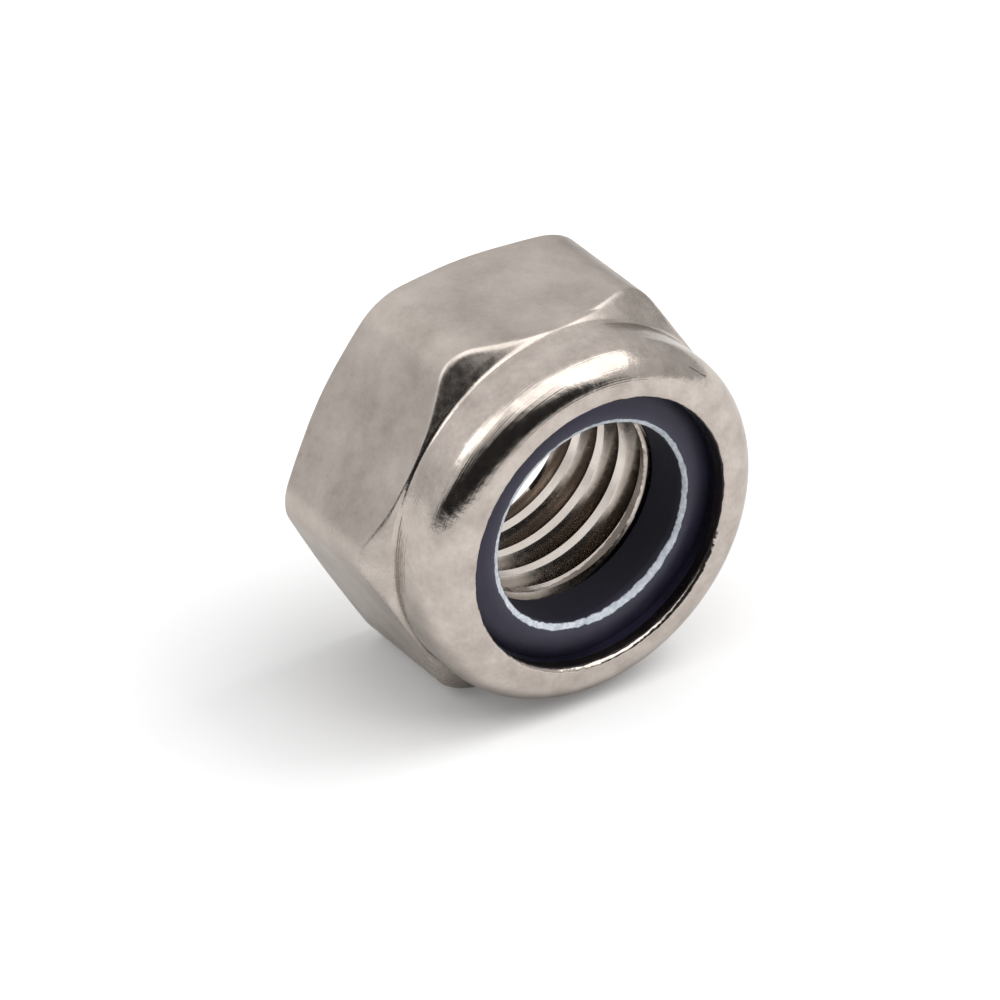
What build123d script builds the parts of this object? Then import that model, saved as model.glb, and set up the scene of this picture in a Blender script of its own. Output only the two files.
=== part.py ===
from build123d import *
import math
import os

# Nylon insert lock nut, M12 coarse, lying on one of its six flats.
# Millimetres. The thread axis lies along Y and the origin is the centre of the bearing face.
# +Y points out of the bearing face, the way the bolt leaves, and the collar points to -Y.
# +Z is the normal of the top flat. A height below is measured from the bearing face towards the collar.

# Hexagon
across_flats = 19.0
ridge_round = 2.2
nut_height = 11.6
shoulder_height = 8.0
shoulder_angle = 42.0
bearing_circle_share = 0.947
bearing_angle = 25.0
shoulder_edge_round = 0.22
bearing_edge_round = 0.25

# Thread, right-handed with one start
thread_size = 12.0
thread_pitch = 1.75
flank_angle = 30.0
crest_opening = 0.10
first_crest_share = 0.377
tap_overlap = 0.15
sink_angle = 30.0
bearing_sink_share = 1.05
inner_sink_depth = 0.3

# Collar
collar_step = 0.13
root_round = 0.16
crimp_round = 1.9
collar_wall = 1.25
lip_inset_share = 0.745
lip_edge_round = 0.15

# Nylon ring
insert_height = 2.55
insert_bore_margin = 0.07
bore_edge_width = 0.34
bore_edge_drop = 0.18
dome_rise = 0.3
dome_flat_share = 0.25
lower_edge_break = 0.3

# Sizes that follow from those above
flat_radius = across_flats / 2
ridge_radius = (flat_radius - ridge_round) / math.cos(math.radians(30)) + ridge_round
blank_radius = across_flats / math.sqrt(3)
shoulder_slope = math.tan(math.radians(shoulder_angle))
bearing_slope = math.tan(math.radians(bearing_angle))
sink_slope = math.tan(math.radians(sink_angle))
bearing_circle = flat_radius * bearing_circle_share

minor_radius = (thread_size - 5 / 8 * math.sqrt(3) * thread_pitch) / 2 + crest_opening
bearing_sink_radius = thread_size / 2 * bearing_sink_share
bearing_sink_depth = (bearing_sink_radius - minor_radius) * sink_slope

collar_radius = flat_radius - collar_step
seat_radius = collar_radius - collar_wall
seat_corner_round = crimp_round - collar_wall
insert_top = nut_height - collar_wall
insert_floor = insert_top - insert_height
inner_sink_radius = minor_radius + inner_sink_depth / sink_slope
lip_radius = flat_radius * lip_inset_share

insert_bore = minor_radius + insert_bore_margin
dome_top = insert_top + dome_rise
dome_flat_radius = insert_bore + bore_edge_width + (lip_radius - insert_bore) * dome_flat_share


def height(radius, level):
    """A point of a turned section: its radius, and its height above the bearing face."""
    return (radius, -level)


def turned(outline):
    """The solid that a closed outline sweeps once round the thread axis."""
    return revolve(Plane.XY * make_face(outline), Axis.Y, 360)


def quarter(centre_radius, centre_level, size, start, finish):
    """An arc of a section about a centre, its angles counted from the outward direction to the collar."""
    points = []
    for angle in (start, (start + finish) / 2, finish):
        turn = math.radians(angle)
        points.append(height(centre_radius + size * math.cos(turn), centre_level + size * math.sin(turn)))
    return ThreePointArc(*points)


def outer_blank():
    """The turned outside: chamfered bearing side, wide middle, sloped shoulder, collar and rounded crimp."""
    chamfer_top = (blank_radius - bearing_circle) * bearing_slope
    shoulder_base = shoulder_height - (blank_radius - collar_radius) * shoulder_slope
    crimp_start = nut_height - crimp_round
    crimp = quarter(collar_radius - crimp_round, crimp_start, crimp_round, 0, 90)
    root_run = root_round * math.tan(math.radians(45 - shoulder_angle / 2))
    root = quarter(collar_radius + root_round, shoulder_height + root_run, root_round, 180, 270 - shoulder_angle)
    side = Polyline(
        height(0, 0),
        height(bearing_circle, 0),
        height(blank_radius, chamfer_top),
        height(blank_radius, shoulder_base),
        root @ 1,
    )
    wall = Line(root @ 0, height(collar_radius, crimp_start))
    close = Polyline(height(collar_radius - crimp_round, nut_height), height(0, nut_height), height(0, 0))
    return turned(side + root + wall + crimp + close)


def hexagon_bar():
    """A bar of the nut's hexagon with its six ridges rounded, as long as the nut and lying on a flat."""
    section = RegularPolygon(flat_radius, 6, major_radius=False)
    section = fillet(section.vertices(), ridge_round)
    return extrude(Plane.XZ * section, nut_height)


def soften_rim(body, low, high, size):
    """Round the scalloped rim where the flats and ridges meet a turned slope between two heights."""
    band = body.edges().filter_by_position(Axis.Y, -high, -low)
    rim = [edge for edge in band if max(math.hypot(v.X, v.Z) for v in edge.vertices()) > flat_radius]
    return fillet(rim, size)


def inner_void():
    """What is taken out of the middle: countersunk bore, seat for the ring and the opening in the lip."""
    corner_level = insert_top - seat_corner_round
    lip_round_level = nut_height - lip_edge_round
    beyond = nut_height + crimp_round
    lower = Polyline(
        height(0, 0),
        height(bearing_sink_radius, 0),
        height(minor_radius, bearing_sink_depth),
        height(minor_radius, insert_floor - inner_sink_depth),
        height(inner_sink_radius, insert_floor),
        height(seat_radius, insert_floor),
        height(seat_radius, corner_level),
    )
    corner = quarter(seat_radius - seat_corner_round, corner_level, seat_corner_round, 0, 90)
    under_lip = Polyline(
        height(seat_radius - seat_corner_round, insert_top),
        height(lip_radius, insert_top),
        height(lip_radius, lip_round_level),
    )
    edge = quarter(lip_radius + lip_edge_round, lip_round_level, lip_edge_round, 180, 90)
    way_out = Polyline(
        height(lip_radius + lip_edge_round, nut_height),
        height(lip_radius + lip_edge_round, beyond),
        height(0, beyond),
        height(0, 0),
    )
    return turned(lower + corner + under_lip + edge + way_out)


def thread_tap():
    """A rod at the crests' radius with a right-handed ridge wound round it, longer than the bore at both ends."""
    root_radius = thread_size / 2
    inside = minor_radius - tap_overlap
    half_root = thread_pitch / 16
    half_mouth = half_root + (root_radius - inside) * math.tan(math.radians(flank_angle))
    start = (first_crest_share - 1.5) * thread_pitch
    run = insert_floor + thread_pitch - start
    winding = Pos(0, 0, start) * Helix(thread_pitch, run, minor_radius)
    tooth = Polyline(
        (inside, start - half_mouth),
        (root_radius, start - half_root),
        (root_radius, start + half_root),
        (inside, start + half_mouth),
        close=True,
    )
    ridge = sweep(Plane.XZ * make_face(tooth), winding, is_frenet=True)
    rod = Cylinder(minor_radius, 2 * (run + thread_pitch))
    return Rot(90, 0, 0) * (rod + ridge)


def make_nut_body():
    """The steel nut: one piece, formed to a hexagon, bored and tapped, and crimped over its ring."""
    shoulder_low = shoulder_height - (ridge_radius - collar_radius) * shoulder_slope
    chamfer_high = (ridge_radius - bearing_circle) * bearing_slope
    outside = outer_blank() & hexagon_bar()
    outside = soften_rim(outside, shoulder_low, shoulder_height, shoulder_edge_round)
    outside = soften_rim(outside, 0, chamfer_high, bearing_edge_round)
    return outside - inner_void() - thread_tap()


def make_nylon_insert():
    """The nylon ring: it fills the seat, and its free face is domed with a broken edge round the bore."""
    corner_level = insert_top - seat_corner_round
    wall = Polyline(
        height(insert_bore, dome_top - bore_edge_drop),
        height(insert_bore, insert_floor + lower_edge_break),
        height(insert_bore + lower_edge_break, insert_floor),
        height(seat_radius, insert_floor),
        height(seat_radius, corner_level),
    )
    corner = quarter(seat_radius - seat_corner_round, corner_level, seat_corner_round, 0, 90)
    under_lip = Line(height(seat_radius - seat_corner_round, insert_top), height(lip_radius, insert_top))
    dome_run = lip_radius - dome_flat_radius
    dome_round = (dome_run**2 + dome_rise**2) / (2 * dome_rise)
    dome_lip_angle = math.degrees(math.acos(dome_run / dome_round))
    dome = quarter(dome_flat_radius, dome_top - dome_round, dome_round, dome_lip_angle, 90)
    edge = Polyline(
        height(dome_flat_radius, dome_top),
        height(insert_bore + bore_edge_width, dome_top),
        height(insert_bore, dome_top - bore_edge_drop),
    )
    return turned(wall + corner + under_lip + dome + edge)


def main():
    os.makedirs("parts", exist_ok=True)
    pieces = {"nut_body": make_nut_body(), "nylon_insert": make_nylon_insert()}
    for name, piece in pieces.items():
        export_step(piece, f"parts/{name}.step")


main()
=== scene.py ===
import math

import bmesh
import bpy
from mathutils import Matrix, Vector, noise


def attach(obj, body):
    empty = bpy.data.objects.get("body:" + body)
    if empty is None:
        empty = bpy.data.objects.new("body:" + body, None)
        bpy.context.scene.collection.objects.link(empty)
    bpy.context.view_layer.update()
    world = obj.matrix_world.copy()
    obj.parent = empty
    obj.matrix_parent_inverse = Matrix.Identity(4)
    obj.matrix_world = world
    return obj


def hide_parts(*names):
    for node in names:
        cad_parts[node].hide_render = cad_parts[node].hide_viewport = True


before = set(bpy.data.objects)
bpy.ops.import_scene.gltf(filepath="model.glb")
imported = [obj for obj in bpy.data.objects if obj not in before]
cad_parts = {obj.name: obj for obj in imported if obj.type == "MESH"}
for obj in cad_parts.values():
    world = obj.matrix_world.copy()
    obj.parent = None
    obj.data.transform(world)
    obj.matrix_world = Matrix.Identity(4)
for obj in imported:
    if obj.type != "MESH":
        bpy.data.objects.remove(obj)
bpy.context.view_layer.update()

MM = 0.001

# Sizes of the nut in millimetres. The thread axis is Y.
# A level is counted from the bearing face towards the collar.
# Angles round the axis run from +X towards +Z: the top flat faces 90 degrees, a ridge stands at every 60.
FLAT_RADIUS = 9.5
NUT_HEIGHT = 11.6
BEARING_CIRCLE = 8.9965
BEARING_ANGLE = 25
BEARING_EDGE_ROUND = 0.12
SHOULDER_HEIGHT = 8.0
SHOULDER_ANGLE = 42
BLANK_RADIUS = 10.97
RIDGE_ROUNDS = {0: 2.2, 60: 2.6, 120: 2.5, 180: 1.95, 240: 2.2, 300: 2.4}
SHOULDER_DROPS = {0: 0.0, 60: 0.25, 120: -0.05, 180: -0.2, 240: 0.0, 300: 0.05}
COLLAR_RADIUS = 9.37
CRIMP_ROUND = 1.9
ROOT_ROUND = 0.18
LIP_RADIUS = 7.0775
LIP_EDGE_ROUND = 0.25
SEAT_RADIUS = 8.12
SEAT_CORNER = 0.65
RING_TOP = 10.35
RING_FLOOR = 7.8

# The pressing: how softly flats and slopes meet, and how far out the shoulders start to differ
PRESS_BLEND = 0.22
LEAST_BLEND_SHARE = 0.15
SHOULDER_RUN = 0.4

# An uneven surface is a sum of noises, each (scale per metre, seed, share). These heights are in millimetres.
LIP_ROUGHNESS = 0.03
LIP_WAVES = ((1700, 17, 1.0), (3900, 19, 1.0))
LIP_WAVE_REACH = 2.2 * LIP_EDGE_ROUND

# The thread: right-handed, one start
MINOR_RADIUS = 5.153
MAJOR_RADIUS = 6.0
PITCH = 1.75
LAND_WIDTH = 0.52
ROOT_WIDTH = 0.219
ROOT_CORNER = 0.05
FIRST_CREST = 0.66
THREAD_TURNS = 6
SINK_RADIUS = 6.42
INNER_SINK_DEPTH = 0.13
BEARING_SINK_SLOPE = math.tan(math.radians(38))
INNER_SINK_SLOPE = math.tan(math.radians(30))

# The narrow bands left open between the bore and the outside, until their rims are bridged
RIM_STEP = 0.03
SINK_RIM = 0.05
SEAT_RIM = 0.1

# The last crest, torn by the tap at its low side. The width is in radians each way.
# The tear starts this far under the ring, grows over a length and dies away over a shorter one at the ring.
TEAR_ROUGHNESS = 0.015
TEAR_WAVES = ((1300, 11, 1.0), (3100, 13, 1.0))
TEAR_SIDE = math.radians(-112)
TEAR_WIDTH = 0.5
TEAR_START = 1.5
TEAR_GROWTH = 0.8
TEAR_END = 0.1

# The nylon ring
RING_BORE = 5.2228
BORE_EDGE_WIDTH = 0.34
BORE_EDGE_DROP = 0.18
BORE_EDGE_ROUND = 0.06
FACE_EDGE_ROUND = 0.10
FACE_LEVEL = 10.65
DOME_BULGE = 0.75
DOME_ROUND_SHARE = 0.95
LIP_SIDE_LEVEL = 10.42
CREEP_LEVEL = 10.88
CREEP_ROUND = 0.42
CREEP_THICKNESS = 0.03
LOWER_BREAK = 0.3
RING_GAP = 0.01

# Its bore, a little off centre, and the bore's edge, worn by a bolt and worn most on one side
BORE_SHIFT = (0.115, 0.05)
LEAST_SHIFT = -0.045
SHIFT_REACH = 0.8
WORN_SIDE = math.radians(-58)
WORN_RUN = math.radians(26)
WORN_DEPTH = 0.11
WORN_LEVEL = 9.6
WORN_RISE = 0.9
BORE_ROUGHNESS = 0.035
FACE_ROUGHNESS = 0.02
BORE_WAVES = ((1100, 3, 0.6), (2600, 5, 0.4))

# The mask for the scuffs, and for the painted shade in the bore and beside the lip, counts millimetres out
# from the bore's edge, down to this depth, and is -1 below it
EDGE_MASK_DEPTH = 0.6
EDGE_MASK_STRETCH = 0.22

# The mesh: steps round the axis, rows along a section, and what counts as a sharp edge or as one point
SPIN_STEPS = 300
CLOSE_ROWS = 0.045
WIDE_ROWS = 0.36
THREAD_ROWS = 0.2
RING_ROWS = 0.09
LEAST_SLOPE = 0.2
SHARP_ANGLE = math.radians(40)
SAME_POINT = 0.001 * MM
SAME_THREAD_POINT = 0.002 * MM
SHORTEST_EDGE = 0.0005 * MM
CUT_REACH = 1e-7

# How far past its edge a surface still takes its own finish, and how far a face leans to be a shoulder
FACE_SLACK = 0.001
SEAT_SLACK = 0.01
BORE_SLACK = 0.02
COLLAR_SLACK = 0.05
SHOULDER_LEAN = -0.3

# The flats' normals stand halfway between the ridges
RIDGE_STEP = 60
HALF_FLAT = math.radians(RIDGE_STEP / 2)

# Each finish's light and dark colour, and the stains. The brown steel is painted shade in the thread's
# grooves, the deep brown serves both the stains and the painted shade on the lip's inner wall, and the shaded
# nylon is painted shade in the ring's bore and beside the lip
DRAWN_STEEL = ((0.545, 0.488, 0.446), (0.352, 0.311, 0.278))
ROLLED_STEEL = ((0.60, 0.537, 0.490), (0.39, 0.344, 0.308))
CUT_STEEL = ((0.72, 0.66, 0.605), (0.58, 0.52, 0.475))
GROOVE_SHADE_STEEL = (0.33, 0.28, 0.24)
DEEP_BROWN = (0.13, 0.106, 0.087)
STEEL_TINT = (0.80, 0.79, 0.78, 1)
DARK_NYLON = ((0.012, 0.011, 0.024, 1), (0.018, 0.017, 0.036, 1))
PALE_NYLON = ((0.48, 0.525, 0.575, 1), (0.72, 0.765, 0.81, 1))
SHADED_NYLON = (0.003, 0.003, 0.008, 1)
NYLON_TINT = (0.84, 0.80, 1.0, 1)

# Two short scratches on the crimp: start, finish and width
SCRATCHES = (((5.32, -11.00, 7.07), (5.86, -11.05, 6.58), 0.10),
             ((5.88, -11.06, 6.52), (6.22, -11.02, 6.26), 0.13))

# The camera: degrees and millimetres
CAMERA_AZIMUTH = -34.80
CAMERA_ELEVATION = 32.89
CAMERA_DISTANCE = 440.0
CAMERA_TARGET = (-1.6035, -5.5, -0.6891)
CAMERA_LENS = 336.2
CAMERA_SENSOR = 36.0

# The room: directions are (azimuth from +Y towards +X, elevation) in degrees
FLOOR_GREY = 0.715
FLOOR_LIFT = 0.125
ROOM_AXIS = (32, 19)
WALL_LEVEL = 0.85
WALL_FOOT_SHADE = 0.72
RIGHT_WALL_SHADE = 0.78
DARK_WALL_SHADE = 0.03
# Each small box: its direction, and the cosines where its soft edge starts and ends
SMALL_BOXES = (((-70, 42), 0.969, 0.980), ((-83, 56), 0.972, 0.983))
BOX_LEVEL = 2.6
KEY_SIDE = (105, 50)
KEY_DISTANCE = 300
KEY_SIZE = 160
KEY_LEVEL = 0.40


# Turned sections

def section_wire(corners, closed=False):
    """A wire through a turned section's corners, each (radius, level, rounding, steps in the rounding)."""
    wire = bmesh.new()
    verts = [wire.verts.new((radius * MM, -level * MM, 0)) for radius, level, _, _ in corners]
    for pair in zip(verts, verts[1:]):
        wire.edges.new(pair)
    if closed:
        wire.edges.new((verts[-1], verts[0]))
    for vert, (_, _, rounding, steps) in zip(verts, corners):
        if rounding:
            bmesh.ops.bevel(wire, geom=[vert], offset=rounding * MM, offset_type="OFFSET", segments=steps,
                            profile=0.5, affect="VERTICES", material=-1)
    return wire


def divide_wire(wire, close_rows, wide_rows):
    """Lay close rows on the slopes, where the hexagon is pressed, and wide rows on plain walls."""
    for edge in wire.edges[:]:
        run = edge.verts[1].co - edge.verts[0].co
        sloped = min(abs(run.x), abs(run.y)) > LEAST_SLOPE * MM
        cuts = int(run.length / MM / (close_rows if sloped else wide_rows))
        if cuts:
            bmesh.ops.subdivide_edges(wire, edges=[edge], cuts=cuts)


def spin_round(wire):
    """Spin a section once round the thread axis."""
    bmesh.ops.spin(wire, geom=wire.verts[:] + wire.edges[:], cent=(0, 0, 0), axis=(0, -1, 0), dvec=(0, 0, 0),
                   angle=2 * math.pi, steps=SPIN_STEPS, use_merge=True)


def where(vert):
    """Radius and level in millimetres, and the angle round the axis in radians."""
    return math.hypot(vert.co.x, vert.co.z) / MM, -vert.co.y / MM, math.atan2(vert.co.z, vert.co.x)


def put(vert, radius, level, angle):
    """Place a vertex by its radius, level and angle."""
    vert.co = Vector((radius * math.cos(angle), -level, radius * math.sin(angle))) * MM


def rough(place, waves):
    """Smooth uneven height, the same on every run."""
    return sum(noise.noise(place * scale + Vector((seed, 2 * seed, 3 * seed))) * share
               for scale, seed, share in waves)


def ramp(value, start, run):
    """Rise evenly from 0 at the start to 1 at the end of the run."""
    return min(max((value - start) / run, 0), 1)


def turn_between(angle, side):
    """How far an angle lies from a side of the nut, either way, in radians."""
    return (angle - side + math.pi) % (2 * math.pi) - math.pi


# The steel nut

def between_ridges(values, angle):
    """Ease from one ridge's value to the next one's."""
    turn = math.degrees(angle) % 360
    start = int(turn // RIDGE_STEP) * RIDGE_STEP
    share = (turn - start) / RIDGE_STEP
    share = share * share * (3 - 2 * share)
    return values[start] * (1 - share) + values[(start + RIDGE_STEP) % 360] * share


def hexagon_radius(angle):
    """How far out the rounded hexagon stands at an angle."""
    from_flat = math.radians(math.degrees(angle) % RIDGE_STEP) - HALF_FLAT
    ridge = round(math.degrees(angle) / RIDGE_STEP) * RIDGE_STEP % 360
    rounding = RIDGE_ROUNDS[ridge]
    if abs(from_flat) < math.atan((FLAT_RADIUS - rounding) * math.tan(HALF_FLAT) / FLAT_RADIUS):
        return FLAT_RADIUS / math.cos(from_flat)
    centre = (FLAT_RADIUS - rounding) / math.cos(HALF_FLAT)
    from_ridge = HALF_FLAT - abs(from_flat)
    return centre * math.cos(from_ridge) + math.sqrt(rounding ** 2 - (centre * math.sin(from_ridge)) ** 2)


def soft_least(a, b, blend):
    """The smaller of two lengths, with a rounded change from one to the other."""
    overlap = max(blend - abs(a - b), 0) / blend
    return min(a, b) - overlap * overlap * blend / 4


def press_hexagon(shell):
    """Press the six flats and ridges into the turned blank, softly where they meet its slopes."""
    for vert in shell.verts:
        radius, level, angle = where(vert)
        if level > SHOULDER_HEIGHT or radius < BEARING_CIRCLE:
            continue
        outside = ramp(radius, COLLAR_RADIUS, SHOULDER_RUN)
        if level > RING_FLOOR / 2:
            level -= between_ridges(SHOULDER_DROPS, angle) * outside
        blend = PRESS_BLEND * max(outside, LEAST_BLEND_SHARE)
        put(vert, soft_least(radius, hexagon_radius(angle), blend), level, angle)


def roughen_lip(shell):
    """Leave the lip's inner edge a little uneven, as the rolling tool did."""
    for vert in shell.verts:
        radius, level, angle = where(vert)
        from_edge = math.hypot(radius - LIP_RADIUS, level - NUT_HEIGHT) / LIP_WAVE_REACH
        if from_edge < 1 and level < NUT_HEIGHT - FACE_SLACK:
            put(vert, radius + rough(vert.co, LIP_WAVES) * LIP_ROUGHNESS * (1 - from_edge), level, angle)


def nut_shell():
    """The outside of the nut and the seat of the ring, open where the thread starts and ends."""
    shoulder_base = SHOULDER_HEIGHT - (BLANK_RADIUS - COLLAR_RADIUS) * math.tan(math.radians(SHOULDER_ANGLE))
    chamfer_top = (BLANK_RADIUS - BEARING_CIRCLE) * math.tan(math.radians(BEARING_ANGLE))
    shell = section_wire([
        (SINK_RADIUS + SINK_RIM, 0, 0, 0),
        (BEARING_CIRCLE, 0, BEARING_EDGE_ROUND, 4),
        (BLANK_RADIUS, chamfer_top, 0, 0),
        (BLANK_RADIUS, shoulder_base, 0, 0),
        (COLLAR_RADIUS, SHOULDER_HEIGHT, ROOT_ROUND, 6),
        (COLLAR_RADIUS, NUT_HEIGHT, CRIMP_ROUND, 24),
        (LIP_RADIUS, NUT_HEIGHT, LIP_EDGE_ROUND, 8),
        (LIP_RADIUS, RING_TOP, 0, 0),
        (SEAT_RADIUS, RING_TOP, SEAT_CORNER, 5),
        (SEAT_RADIUS, RING_FLOOR, 0, 0),
        (MAJOR_RADIUS + SEAT_RIM, RING_FLOOR, 0, 0),
    ])
    divide_wire(shell, CLOSE_ROWS, WIDE_ROWS)
    spin_round(shell)
    press_hexagon(shell)
    roughen_lip(shell)
    return shell


def sink_radius(level):
    """The radius that the two countersinks have at a level, or nothing between them."""
    bearing_side = SINK_RADIUS - level / BEARING_SINK_SLOPE
    collar_side = MINOR_RADIUS + (level - (RING_FLOOR - INNER_SINK_DEPTH)) / INNER_SINK_SLOPE
    return max(bearing_side, collar_side, 0)


def thread_wall():
    """The threaded bore: one pitch of its section, spun along the lead, countersunk and cut to length."""
    middle = FIRST_CREST - PITCH
    land, root = LAND_WIDTH / 2, (PITCH - ROOT_WIDTH) / 2
    thread = section_wire([
        (MAJOR_RADIUS, middle - PITCH / 2, 0, 0),
        (MAJOR_RADIUS, middle - root, ROOT_CORNER, 2),
        (MINOR_RADIUS, middle - land, 0, 0),
        (MINOR_RADIUS, middle + land, 0, 0),
        (MAJOR_RADIUS, middle + root, ROOT_CORNER, 2),
        (MAJOR_RADIUS, middle + PITCH / 2, 0, 0),
    ])
    divide_wire(thread, THREAD_ROWS, THREAD_ROWS)
    bmesh.ops.spin(thread, geom=thread.verts[:] + thread.edges[:], cent=(0, 0, 0), axis=(0, -1, 0),
                   dvec=(0, -PITCH * MM / SPIN_STEPS, 0), angle=2 * math.pi, steps=SPIN_STEPS)
    turn = thread.verts[:] + thread.edges[:] + thread.faces[:]
    for number in range(1, THREAD_TURNS):
        copy = bmesh.ops.duplicate(thread, geom=turn)["geom"]
        verts = [item for item in copy if isinstance(item, bmesh.types.BMVert)]
        bmesh.ops.translate(thread, verts=verts, vec=(0, -number * PITCH * MM, 0))
    bmesh.ops.remove_doubles(thread, verts=thread.verts, dist=SAME_THREAD_POINT)
    cut_across(thread, RIM_STEP, (0, 1, 0), clear_outer=True)
    cut_across(thread, RING_FLOOR - RIM_STEP, (0, -1, 0), clear_outer=True)
    cut_across(thread, RING_FLOOR - INNER_SINK_DEPTH, (0, 1, 0))
    cut_across(thread, RING_FLOOR - INNER_SINK_DEPTH / 2, (0, 1, 0))
    for vert in thread.verts:
        radius, level, angle = where(vert)
        put(vert, max(radius, sink_radius(level)) + torn_by(vert.co, level, angle), level, angle)
    return thread


def cut_across(mesh, level, normal, clear_outer=False):
    """Cut a mesh at a level, and drop what lies on the normal's side if asked."""
    bmesh.ops.bisect_plane(mesh, geom=mesh.verts[:] + mesh.edges[:] + mesh.faces[:], dist=CUT_REACH,
                           plane_co=(0, -level * MM, 0), plane_no=normal, clear_outer=clear_outer)


def torn_by(place, level, angle):
    """How far the tap has torn the last crest at its low side, in millimetres."""
    near = math.exp(-(turn_between(angle, TEAR_SIDE) / TEAR_WIDTH) ** 2)
    near *= ramp(level, RING_FLOOR - TEAR_START, TEAR_GROWTH) * ramp(RING_FLOOR - level, 0, TEAR_END)
    return near * TEAR_ROUGHNESS * rough(place, TEAR_WAVES)


def join(meshes):
    """Put several meshes in the first one."""
    first = meshes[0]
    for other in meshes[1:]:
        data = bpy.data.meshes.new("joined")
        other.to_mesh(data)
        first.from_mesh(data)
        bpy.data.meshes.remove(data)
        other.free()
    return first


def close_rims(mesh, low, high):
    """Bridge the two open rims that lie between two levels."""
    rim = [edge for edge in mesh.edges if edge.is_boundary
           and all(low < where(vert)[1] < high for vert in edge.verts)]
    bmesh.ops.bridge_loops(mesh, edges=rim)


def finish_mesh(mesh, name):
    """Close the doubles, turn the faces outwards and make the object."""
    bmesh.ops.remove_doubles(mesh, verts=mesh.verts, dist=SAME_POINT)
    bmesh.ops.dissolve_degenerate(mesh, edges=mesh.edges, dist=SHORTEST_EDGE)
    bmesh.ops.recalc_face_normals(mesh, faces=mesh.faces)
    for face in mesh.faces:
        face.smooth = True
    for edge in mesh.edges:
        edge.smooth = edge.calc_face_angle(0) < SHARP_ANGLE
    data = bpy.data.meshes.new(name)
    mesh.to_mesh(data)
    mesh.free()
    piece = bpy.data.objects.new(name, data)
    bpy.context.scene.collection.objects.link(piece)
    return piece


# The order of the nut's finishes
HEXAGON, SHOULDER, COLLAR, THREAD = range(4)


def sort_faces(mesh):
    """Give the hexagon, the rolled collar and the cut bore their own finish."""
    for face in mesh.faces:
        place = face.calc_center_median()
        radius, level = math.hypot(place.x, place.z) / MM, -place.y / MM
        inside_lip = radius < LIP_RADIUS + BORE_SLACK and level < NUT_HEIGHT - LIP_EDGE_ROUND
        beside_ring = RING_FLOOR - SEAT_SLACK < level < RING_TOP + SEAT_SLACK
        seat = beside_ring and radius < SEAT_RADIUS + SEAT_SLACK
        if radius < SINK_RADIUS + BORE_SLACK or level > RING_FLOOR and inside_lip or seat:
            face.material_index = THREAD
        elif level > SHOULDER_HEIGHT - COLLAR_SLACK:
            face.material_index = COLLAR
        elif face.normal.y < SHOULDER_LEAN and radius > COLLAR_RADIUS:
            face.material_index = SHOULDER
        else:
            face.material_index = HEXAGON


def make_nut():
    """The nut in one closed mesh: its turned and pressed outside, its seat and its threaded bore."""
    nut = join([nut_shell(), thread_wall()])
    close_rims(nut, -PITCH, PITCH)
    close_rims(nut, RING_FLOOR - PITCH, RING_FLOOR + PITCH)
    bmesh.ops.recalc_face_normals(nut, faces=nut.faces)
    sort_faces(nut)
    return finish_mesh(nut, "threaded_nut")


# The nylon ring

def make_ring():
    """The nylon ring: domed from its bore edge to the lip, the edge left a little ragged by a bolt."""
    outer = SEAT_RADIUS - RING_GAP
    top = RING_TOP - RING_GAP
    ring = section_wire([
        (RING_BORE, FACE_LEVEL - BORE_EDGE_DROP, BORE_EDGE_ROUND, 2),
        (RING_BORE + BORE_EDGE_WIDTH, FACE_LEVEL, FACE_EDGE_ROUND, 3),
        (RING_BORE + BORE_EDGE_WIDTH + DOME_BULGE, FACE_LEVEL, DOME_BULGE * DOME_ROUND_SHARE, 10),
        (LIP_RADIUS - RING_GAP - CREEP_THICKNESS, LIP_SIDE_LEVEL, CREEP_ROUND, 8),
        (LIP_RADIUS - RING_GAP - CREEP_THICKNESS, CREEP_LEVEL, 0, 0),
        (LIP_RADIUS - RING_GAP, CREEP_LEVEL, 0, 0),
        (LIP_RADIUS - RING_GAP, top, 0, 0),
        (outer, top, SEAT_CORNER, 5),
        (outer, RING_FLOOR, 0, 0),
        (RING_BORE + LOWER_BREAK, RING_FLOOR, 0, 0),
        (RING_BORE, RING_FLOOR + LOWER_BREAK, 0, 0),
    ], closed=True)
    divide_wire(ring, RING_ROWS, WIDE_ROWS)
    spin_round(ring)
    from_edge = ring.verts.layers.float.new("from_bore_edge")
    for vert in ring.verts:
        radius, level, angle = where(vert)
        bulge = math.exp(-(turn_between(angle, WORN_SIDE) / WORN_RUN) ** 2)
        if level > FACE_LEVEL - EDGE_MASK_DEPTH:
            vert[from_edge] = radius - RING_BORE + min(level - (FACE_LEVEL - BORE_EDGE_DROP), 0)
        else:
            vert[from_edge] = -1
        vert[from_edge] *= 1 - EDGE_MASK_STRETCH * bulge
        near = max(1 - max(radius - RING_BORE, 0) / SHIFT_REACH, 0)
        worn = near * ramp(level, WORN_LEVEL, WORN_RISE)
        shift = max(BORE_SHIFT[0] * math.cos(angle) + BORE_SHIFT[1] * math.sin(angle), LEAST_SHIFT)
        wave = rough(vert.co, BORE_WAVES)
        edge_wear = wave * BORE_ROUGHNESS - bulge * WORN_DEPTH
        put(vert, radius + near * shift + worn * edge_wear, level + worn * wave * FACE_ROUGHNESS, angle)
    return finish_mesh(ring, "nylon_ring")


threaded_nut = make_nut()
nylon_ring = make_ring()


# Finishes

def new_group(name, inputs, outputs):
    """An empty shader node group with named sockets; each input is (name, kind, value)."""
    group = bpy.data.node_groups.new(name, "ShaderNodeTree")
    for socket, kind, value in inputs:
        group.interface.new_socket(socket, in_out="INPUT", socket_type=kind).default_value = value
    for socket, kind in outputs:
        group.interface.new_socket(socket, in_out="OUTPUT", socket_type=kind)
    return group, group.nodes.new("NodeGroupInput"), group.nodes.new("NodeGroupOutput")


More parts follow.
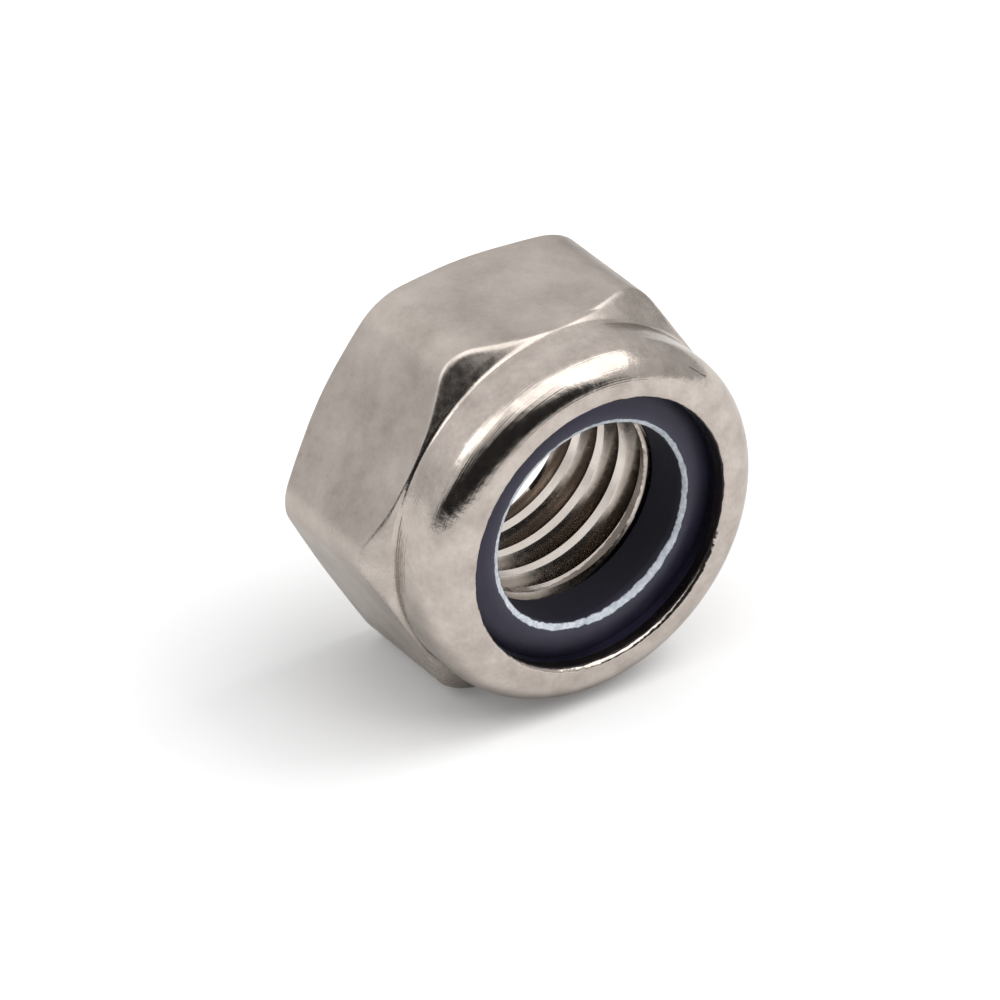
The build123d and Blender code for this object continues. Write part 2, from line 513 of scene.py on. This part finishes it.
def add_node(tree, kind, inputs=None, **settings):
    """A node with its settings, and each input set to a value or joined to another node's output."""
    node = tree.nodes.new(kind)
    for name, value in settings.items():
        setattr(node, name, value)
    for socket, value in (inputs or {}).items():
        if isinstance(value, bpy.types.NodeSocket):
            tree.links.new(value, node.inputs[socket])
        else:
            node.inputs[socket].default_value = value
    return node


def calculate(tree, operation, *values):
    """One step of arithmetic."""
    return add_node(tree, "ShaderNodeMath", dict(enumerate(values)), operation=operation).outputs[0]


def spread(tree, value, low, high, to_low, to_high):
    """Carry a value from one range to another, held at its ends."""
    return add_node(tree, "ShaderNodeMapRange", {"Value": value, "From Min": low, "From Max": high,
                                                 "To Min": to_low, "To Max": to_high}).outputs["Result"]


def vector_step(tree, operation, *values):
    """One step of vector arithmetic that ends in a vector."""
    node = add_node(tree, "ShaderNodeVectorMath", dict(enumerate(values)), operation=operation)
    return node.outputs["Vector"]


def vector_measure(tree, operation, *values):
    """One step of vector arithmetic that ends in a number."""
    node = add_node(tree, "ShaderNodeVectorMath", dict(enumerate(values)), operation=operation)
    return node.outputs["Value"]


def own_place(tree):
    """A place in the piece's own coordinates."""
    return tree.nodes.new("ShaderNodeTexCoord").outputs["Object"]


def mix_colours(tree, share, first, second):
    """The first colour at a share of 0 and the second at 1."""
    node = add_node(tree, "ShaderNodeMix", data_type="RGBA")
    for socket, value in ((node.inputs["Factor"], share), (node.inputs[6], first), (node.inputs[7], second)):
        if isinstance(value, bpy.types.NodeSocket):
            tree.links.new(value, socket)
        else:
            socket.default_value = value
    return node.outputs[2]


def noise_at(tree, place, scale, detail=3.0, rough_share=0.5):
    """Cloudy noise, its scale per metre."""
    node = add_node(tree, "ShaderNodeTexNoise", {"Vector": place, "Scale": scale, "Detail": detail,
                                                 "Roughness": rough_share})
    return node.outputs["Fac"]


def distance_from_axis(tree, place):
    """How far a place lies from the thread axis, in metres."""
    return vector_measure(tree, "LENGTH", vector_step(tree, "MULTIPLY", place, (1, 0, 1)))


def clouds_group():
    """Soft cloudy patches, as tumbling leaves them on steel, with fine speckle."""
    group, given, made = new_group("cloudy_surface", [
        ("Light Colour", "NodeSocketColor", (0.6, 0.54, 0.49, 1)),
        ("Dark Colour", "NodeSocketColor", (0.5, 0.44, 0.4, 1)),
        ("Patches per Metre", "NodeSocketFloat", 420.0),
        ("Low Roughness", "NodeSocketFloat", 0.3),
        ("High Roughness", "NodeSocketFloat", 0.42),
    ], [("Colour", "NodeSocketColor"), ("Roughness", "NodeSocketFloat"), ("Height", "NodeSocketFloat")])
    place = own_place(group)
    patches = noise_at(group, place, given.outputs["Patches per Metre"], 4.0, 0.45)
    finer = calculate(group, "MULTIPLY", given.outputs["Patches per Metre"], 4.3)
    smears = noise_at(group, place, finer, 5.0, 0.6)
    speckle = noise_at(group, place, 5200.0, 2.0, 0.6)
    waves = calculate(group, "MULTIPLY_ADD", smears, 0.28, calculate(group, "MULTIPLY", patches, 0.72))
    cloud = calculate(group, "MULTIPLY_ADD", speckle, 0.14, calculate(group, "MULTIPLY", waves, 0.86))
    share = spread(group, cloud, 0.34, 0.66, 0.0, 1.0)
    colour = mix_colours(group, share, given.outputs["Dark Colour"], given.outputs["Light Colour"])
    low, high = given.outputs["Low Roughness"], given.outputs["High Roughness"]
    roughness = spread(group, smears, 0.3, 0.7, low, high)
    group.links.new(colour, made.inputs["Colour"])
    group.links.new(roughness, made.inputs["Roughness"])
    group.links.new(waves, made.inputs["Height"])
    return group


def lines_group():
    """Fine tool lines that run round the thread axis, or along the thread where a lead is given."""
    group, given, made = new_group("tool_lines", [
        ("Lead", "NodeSocketFloat", 0.0),
        ("Repeat", "NodeSocketFloat", 1.0),
        ("Lines per Metre", "NodeSocketFloat", 9000.0),
        ("Break Up", "NodeSocketFloat", 0.5),
    ], [("Lines", "NodeSocketFloat")])
    place = own_place(group)
    parts = add_node(group, "ShaderNodeSeparateXYZ", {"Vector": place}).outputs
    turn = calculate(group, "ARCTAN2", parts["Z"], parts["X"])
    share_of_turn = calculate(group, "MULTIPLY", turn, 1 / (2 * math.pi))
    along = calculate(group, "MULTIPLY", share_of_turn, given.outputs["Lead"])
    radius = distance_from_axis(group, place)
    across = calculate(group, "ADD", parts["Y"], along)
    across = calculate(group, "ADD", across, calculate(group, "MULTIPLY", radius, 0.71))
    across = calculate(group, "WRAP", across, given.outputs["Repeat"], 0.0)
    line = calculate(group, "MULTIPLY", across, given.outputs["Lines per Metre"])
    scratch = add_node(group, "ShaderNodeTexNoise", noise_dimensions="1D", inputs={
        "W": line, "Scale": 1.0, "Detail": 1.5, "Roughness": 0.5}).outputs["Fac"]
    patches = spread(group, noise_at(group, place, 700.0, 2.0), 0.4, 0.6, 0.0, 1.0)
    fade = calculate(group, "SUBTRACT", 1.0, calculate(group, "MULTIPLY", patches, given.outputs["Break Up"]))
    lines = calculate(group, "MULTIPLY_ADD", calculate(group, "SUBTRACT", scratch, 0.5), fade, 0.5)
    group.links.new(lines, made.inputs["Lines"])
    return group


def scratch_group():
    """A short straight scratch between two points of the surface."""
    group, given, made = new_group("short_scratch", [
        ("Start", "NodeSocketVector", (0, 0, 0)),
        ("Finish", "NodeSocketVector", (0, 0, MM)),
        ("Width", "NodeSocketFloat", 0.1 * MM),
    ], [("Mask", "NodeSocketFloat")])
    place = own_place(group)
    run = vector_step(group, "SUBTRACT", given.outputs["Finish"], given.outputs["Start"])
    reach = vector_step(group, "SUBTRACT", place, given.outputs["Start"])
    share = calculate(group, "DIVIDE", vector_measure(group, "DOT_PRODUCT", reach, run),
                      vector_measure(group, "DOT_PRODUCT", run, run))
    share = spread(group, share, 0.0, 1.0, 0.0, 1.0)
    along = add_node(group, "ShaderNodeVectorMath", {0: run, "Scale": share}, operation="SCALE")
    away = vector_measure(group, "LENGTH", vector_step(group, "SUBTRACT", reach, along.outputs["Vector"]))
    away = calculate(group, "DIVIDE", away, given.outputs["Width"])
    ragged = calculate(group, "MULTIPLY_ADD", noise_at(group, place, 9000.0, 2.0), 0.8, away)
    group.links.new(spread(group, ragged, 0.6, 1.0, 1.0, 0.0), made.inputs["Mask"])
    return group


cloudy_surface = clouds_group()
tool_lines = lines_group()
short_scratch = scratch_group()


def new_material(name):
    """A material, its node tree and its shader."""
    material = bpy.data.materials.new(name)
    material.use_nodes = True
    return material, material.node_tree, material.node_tree.nodes["Principled BSDF"]


def use_group(tree, group, **values):
    """A shader group in a material, its sockets set by name."""
    node = add_node(tree, "ShaderNodeGroup", node_tree=group)
    for name, value in values.items():
        node.inputs[name.replace("_", " ")].default_value = value
    return node


def bump_by(tree, height, depth, normal=None):
    """A normal bumped by a height that runs over one unit, with the depth in millimetres."""
    node = add_node(tree, "ShaderNodeBump", {"Height": height, "Distance": depth * MM, "Strength": 1.0})
    if normal:
        tree.links.new(normal, node.inputs["Normal"])
    return node.outputs["Normal"]


def steel_material(name, colours, roughness, patches, depth):
    """Steel with soft cloudy patches, so many per metre. The depth of its waves is in millimetres."""
    material, tree, shader = new_material(name)
    shader.inputs["Metallic"].default_value = 1.0
    shader.inputs["Specular Tint"].default_value = STEEL_TINT
    light, dark = colours
    clouds = use_group(tree, cloudy_surface, Light_Colour=(*light, 1), Dark_Colour=(*dark, 1),
                       Patches_per_Metre=patches, Low_Roughness=roughness[0], High_Roughness=roughness[1])
    tree.links.new(clouds.outputs["Roughness"], shader.inputs["Roughness"])
    normal = bump_by(tree, clouds.outputs["Height"], depth)
    return material, tree, shader, clouds.outputs["Colour"], normal


def hexagon_finish():
    """The drawn hexagon: satin, cloudy, with small dents."""
    material, tree, shader, colour, normal = steel_material(
        "drawn_steel", DRAWN_STEEL, roughness=(0.26, 0.42), patches=330.0, depth=0.02)
    tree.links.new(colour, shader.inputs["Base Color"])
    tree.links.new(normal, shader.inputs["Normal"])
    return material


def shoulder_finish():
    """The pressed shoulders: smoother than the flats, with a fine grain."""
    material, tree, shader, colour, normal = steel_material(
        "pressed_steel", DRAWN_STEEL, roughness=(0.22, 0.32), patches=600.0, depth=0.012)
    tree.links.new(colour, shader.inputs["Base Color"])
    tree.links.new(normal, shader.inputs["Normal"])
    return material


def collar_finish():
    """The rolled collar: polished, with rubbed lines round it that come and go."""
    material, tree, shader, colour, normal = steel_material(
        "rolled_steel", ROLLED_STEEL, roughness=(0.09, 0.18), patches=700.0, depth=0.036)
    fine = use_group(tree, tool_lines, Lines_per_Metre=14000.0, Break_Up=0.9)
    wide = use_group(tree, tool_lines, Lines_per_Metre=2600.0, Break_Up=1.0)
    normal = bump_by(tree, wide.outputs["Lines"], 0.014, bump_by(tree, fine.outputs["Lines"], 0.007, normal))
    place = own_place(tree)
    near_lip = spread(tree, distance_from_axis(tree, place),
                      (LIP_RADIUS + 0.12) * MM, (LIP_RADIUS + 0.4) * MM, 1.0, 0.0)
    nicks = calculate(tree, "SUBTRACT", noise_at(tree, place, 3000.0, 1.5), 0.5)
    normal = bump_by(tree, calculate(tree, "MULTIPLY", near_lip, nicks), 0.03, normal)
    streaks = spread(tree, fine.outputs["Lines"], 0.4, 0.6, 0.0, 0.25)
    colour = mix_colours(tree, streaks, colour, (*ROLLED_STEEL[1], 1))
    for start, finish, width in SCRATCHES:
        scratch = use_group(tree, short_scratch, Start=Vector(start) * MM, Finish=Vector(finish) * MM,
                            Width=width * MM)
        colour = mix_colours(tree, scratch.outputs["Mask"], colour, (*DEEP_BROWN, 1))
        normal = bump_by(tree, calculate(tree, "SUBTRACT", 1.0, scratch.outputs["Mask"]), 0.02, normal)
    tree.links.new(colour, shader.inputs["Base Color"])
    tree.links.new(normal, shader.inputs["Normal"])
    return material


def thread_finish():
    """The tapped bore: bright crests, and grooves with a browner base as painted shade and lines along the
    thread; the lip's inner wall takes painted shade in deep brown.
    """
    material, tree, shader, colour, normal = steel_material(
        "cut_steel", CUT_STEEL, roughness=(0.14, 0.28), patches=900.0, depth=0.002)
    lines = use_group(tree, tool_lines, Lead=PITCH * MM, Repeat=PITCH * MM,
                      Lines_per_Metre=8000.0, Break_Up=0.35)
    place = own_place(tree)
    radius = distance_from_axis(tree, place)
    parts = add_node(tree, "ShaderNodeSeparateXYZ", {"Vector": place}).outputs
    depth = calculate(tree, "MULTIPLY_ADD", noise_at(tree, place, 2600.0, 3.0), 0.3 * MM,
                      calculate(tree, "MULTIPLY", parts["Y"], -1.0))
    torn = calculate(tree, "MULTIPLY", spread(tree, depth, 7.36 * MM, 7.44 * MM, 0.0, 0.9),
                     spread(tree, depth, 7.80 * MM, 7.86 * MM, 1.0, 0.0))
    torn = calculate(tree, "MULTIPLY", torn, spread(tree, parts["X"], -1.5 * MM, 1.5 * MM, 0.3, 1.0))
    # The grooves take a browner base colour: painted shade for the light lost between their flanks
    groove = spread(tree, radius, (MINOR_RADIUS + 0.02) * MM, (MINOR_RADIUS + 0.2) * MM, 0.0, 0.9)
    # Faces at the lip's radius, the lip's inner wall, are painted deep brown as shade
    lip = spread(tree, radius, (LIP_RADIUS - 0.2) * MM, (LIP_RADIUS - 0.1) * MM, 0.0, 0.9)
    stain_and_shade = calculate(tree, "MULTIPLY", groove, spread(tree, lines.outputs["Lines"], 0.44, 0.58, 0.0, 0.8))
    shaded_grooves = mix_colours(tree, groove, colour, (*GROOVE_SHADE_STEEL, 1))
    # Stain and shade together: the tool streaks in the grooves and the torn crest are stains, the lip's inner
    # wall is painted shade
    stain_and_shade = calculate(tree, "MAXIMUM", calculate(tree, "MAXIMUM", stain_and_shade, torn), lip)
    tree.links.new(mix_colours(tree, stain_and_shade, shaded_grooves, (*DEEP_BROWN, 1)), shader.inputs["Base Color"])
    tree.links.new(bump_by(tree, lines.outputs["Lines"], 0.02, normal), shader.inputs["Normal"])
    return material


def nylon_finish():
    """Dark blue-black nylon, scuffed pale along the bore edge, with painted shade that darkens the bore and
    the face beside the lip.
    """
    material, tree, shader = new_material("dark_nylon")
    place = own_place(tree)
    from_edge = add_node(tree, "ShaderNodeAttribute", attribute_name="from_bore_edge").outputs["Fac"]
    wave = calculate(tree, "SUBTRACT", noise_at(tree, place, 2400.0, 3.0, 0.6), 0.5)
    ragged = calculate(tree, "MULTIPLY_ADD", wave, 0.22, from_edge)
    scuff = calculate(tree, "MULTIPLY", spread(tree, ragged, 0.00, 0.05, 0.0, 1.0),
                      spread(tree, ragged, 0.27, 0.31, 1.0, 0.0))
    grain = noise_at(tree, place, 4200.0, 3.0, 0.6)
    patches = spread(tree, noise_at(tree, place, 500.0, 3.0), 0.35, 0.65, 0.0, 1.0)
    deep = mix_colours(tree, patches, *DARK_NYLON)
    pale = mix_colours(tree, spread(tree, grain, 0.35, 0.65, 0.0, 1.0), *PALE_NYLON)
    # The face is paler towards the bore edge, fading out over the face
    pale_fade = calculate(tree, "MULTIPLY", spread(tree, from_edge, 0.25, 0.9, 0.03, 0.0),
                     spread(tree, from_edge, -0.1, 0.05, 0.0, 1.0))
    # The bore's wall and the face beside the lip take the shaded colour: painted shade
    in_bore = spread(tree, from_edge, -0.4, -0.05, 1.0, 0.0)
    shaded = calculate(tree, "MAXIMUM", in_bore, spread(tree, from_edge, 1.55, 1.8, 0.0, 1.0))
    deep = mix_colours(tree, shaded, deep, SHADED_NYLON)
    faded_to_pale = mix_colours(tree, pale_fade, deep, pale)
    tree.links.new(mix_colours(tree, scuff, faded_to_pale, pale), shader.inputs["Base Color"])
    dull = calculate(tree, "MAXIMUM", scuff, in_bore)
    tree.links.new(spread(tree, dull, 0.0, 1.0, 0.42, 0.75), shader.inputs["Roughness"])
    shader.inputs["Specular IOR Level"].default_value = 0.5
    shader.inputs["Specular Tint"].default_value = NYLON_TINT
    tree.links.new(bump_by(tree, grain, 0.012), shader.inputs["Normal"])
    return material


for finish in (hexagon_finish(), shoulder_finish(), collar_finish(), thread_finish()):
    threaded_nut.data.materials.append(finish)
nylon_ring.data.materials.append(nylon_finish())

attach(threaded_nut, "root")
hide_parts("nut_body")
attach(nylon_ring, "root")
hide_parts("nylon_insert")


# Camera

def place_camera():
    """Look down on the collar side from the left, as in the photo."""
    turn, lift = math.radians(CAMERA_AZIMUTH), math.radians(CAMERA_ELEVATION)
    back = Vector((math.sin(turn) * math.cos(lift), -math.cos(turn) * math.cos(lift), math.sin(lift)))
    data = bpy.data.cameras.new("camera")
    data.lens = CAMERA_LENS
    data.sensor_width = CAMERA_SENSOR
    data.clip_start = 0.01
    data.clip_end = 10.0
    camera = bpy.data.objects.new("camera", data)
    bpy.context.scene.collection.objects.link(camera)
    camera.location = (Vector(CAMERA_TARGET) + back * CAMERA_DISTANCE) * MM
    camera.rotation_euler = back.to_track_quat("Z", "Y").to_euler()
    bpy.context.scene.camera = camera


place_camera()


# Floor and light

def white_floor():
    """A white floor that keeps the nut's shadow and shows white to the camera and in the metal."""
    material, tree, shader = new_material("floor_white")
    shader.inputs["Base Color"].default_value = (FLOOR_GREY, FLOOR_GREY, FLOOR_GREY, 1)
    shader.inputs["Roughness"].default_value = 0.9
    shader.inputs["Specular IOR Level"].default_value = 0.0
    path = tree.nodes.new("ShaderNodeLightPath").outputs
    in_metal = calculate(tree, "MAXIMUM", path["Is Glossy Ray"], path["Is Transmission Ray"])
    seen = calculate(tree, "MAXIMUM", path["Is Camera Ray"], in_metal)
    shader.inputs["Emission Color"].default_value = (1, 1, 1, 1)
    tree.links.new(calculate(tree, "MULTIPLY", seen, FLOOR_LIFT), shader.inputs["Emission Strength"])
    return material


def lay_floor():
    """The floor that the lowest flat rests on."""
    mesh = bmesh.new()
    bmesh.ops.create_grid(mesh, x_segments=1, y_segments=1, size=0.6)
    bmesh.ops.translate(mesh, verts=mesh.verts, vec=(0, 0, -FLAT_RADIUS * MM))
    data = bpy.data.meshes.new("floor")
    mesh.to_mesh(data)
    mesh.free()
    floor = bpy.data.objects.new("floor", data)
    bpy.context.scene.collection.objects.link(floor)
    floor.data.materials.append(white_floor())


def towards(azimuth, elevation):
    """A direction from its azimuth, counted from +Y towards +X, and its elevation."""
    turn, lift = math.radians(azimuth), math.radians(elevation)
    return Vector((math.sin(turn) * math.cos(lift), math.cos(turn) * math.cos(lift), math.sin(lift)))


def light_room():
    """Pale walls, dark on the camera's side, with a wide soft box above and two small ones on the left."""
    world = bpy.data.worlds.new("studio")
    bpy.context.scene.world = world
    world.use_nodes = True
    tree = world.node_tree
    place = tree.nodes.new("ShaderNodeTexCoord").outputs["Generated"]

    def along(direction):
        return vector_measure(tree, "DOT_PRODUCT", place, direction)

    height = along((0, 0, 1))
    behind = along(towards(*ROOM_AXIS))
    dark = calculate(tree, "MULTIPLY", spread(tree, behind, -0.37, -0.27, 1.0, 0.0),
                     spread(tree, height, -0.02, 0.06, 0.0, 1.0))
    path = tree.nodes.new("ShaderNodeLightPath").outputs
    in_metal = calculate(tree, "MAXIMUM", path["Is Glossy Ray"], path["Is Transmission Ray"])
    walls = spread(tree, in_metal, 0.0, 1.0, WALL_LEVEL, 1.0)
    for shade in (spread(tree, height, 0.0, 0.45, WALL_FOOT_SHADE, 1.0),
                  spread(tree, along((1, 0, 0)), 0.6, 0.85, 1.0, RIGHT_WALL_SHADE),
                  spread(tree, dark, 0.0, 1.0, 1.0, DARK_WALL_SHADE)):
        walls = calculate(tree, "MULTIPLY", walls, shade)
    far_edge = calculate(tree, "SUBTRACT", behind, along((0.4, 0, 0)))
    wide = 1.0
    for edge in (spread(tree, behind, -0.30, -0.19, 0.0, 1.0), spread(tree, far_edge, 0.32, 0.46, 1.0, 0.0),
                 spread(tree, along((0, -0.35, 1)), 0.61, 0.71, 0.0, 1.0),
                 spread(tree, along((1, 0, 0)), -0.42, -0.32, 0.0, 1.0)):
        wide = calculate(tree, "MULTIPLY", wide, edge)
    boxes = wide
    for side, soft_edge, full in SMALL_BOXES:
        small = spread(tree, along(towards(*side)), soft_edge, full, 0.0, 1.0)
        boxes = calculate(tree, "MAXIMUM", boxes, small)
    room = calculate(tree, "MAXIMUM", walls, calculate(tree, "MULTIPLY", BOX_LEVEL, boxes))
    to_white = calculate(tree, "SUBTRACT", 1.0, room)
    white_behind = calculate(tree, "MULTIPLY_ADD", to_white, path["Is Camera Ray"], room)
    tree.nodes["Background"].inputs["Color"].default_value = (1, 1, 1, 1)
    tree.links.new(white_behind, tree.nodes["Background"].inputs["Strength"])


def key_lamp():
    """A lamp at the back right that throws the nut's soft shadow forward to the left."""
    data = bpy.data.lights.new("key", "AREA")
    data.shape = "SQUARE"
    data.size = KEY_SIZE * MM
    data.energy = KEY_LEVEL * (math.pi * KEY_DISTANCE * MM) ** 2
    lamp = bpy.data.objects.new("key", data)
    lamp.visible_glossy = False
    bpy.context.scene.collection.objects.link(lamp)
    place = towards(*KEY_SIDE)
    lamp.location = place * KEY_DISTANCE * MM
    lamp.rotation_euler = place.to_track_quat("Z", "Y").to_euler()


lay_floor()
light_room()
key_lamp()

bpy.context.scene.view_settings.view_transform = "Standard"
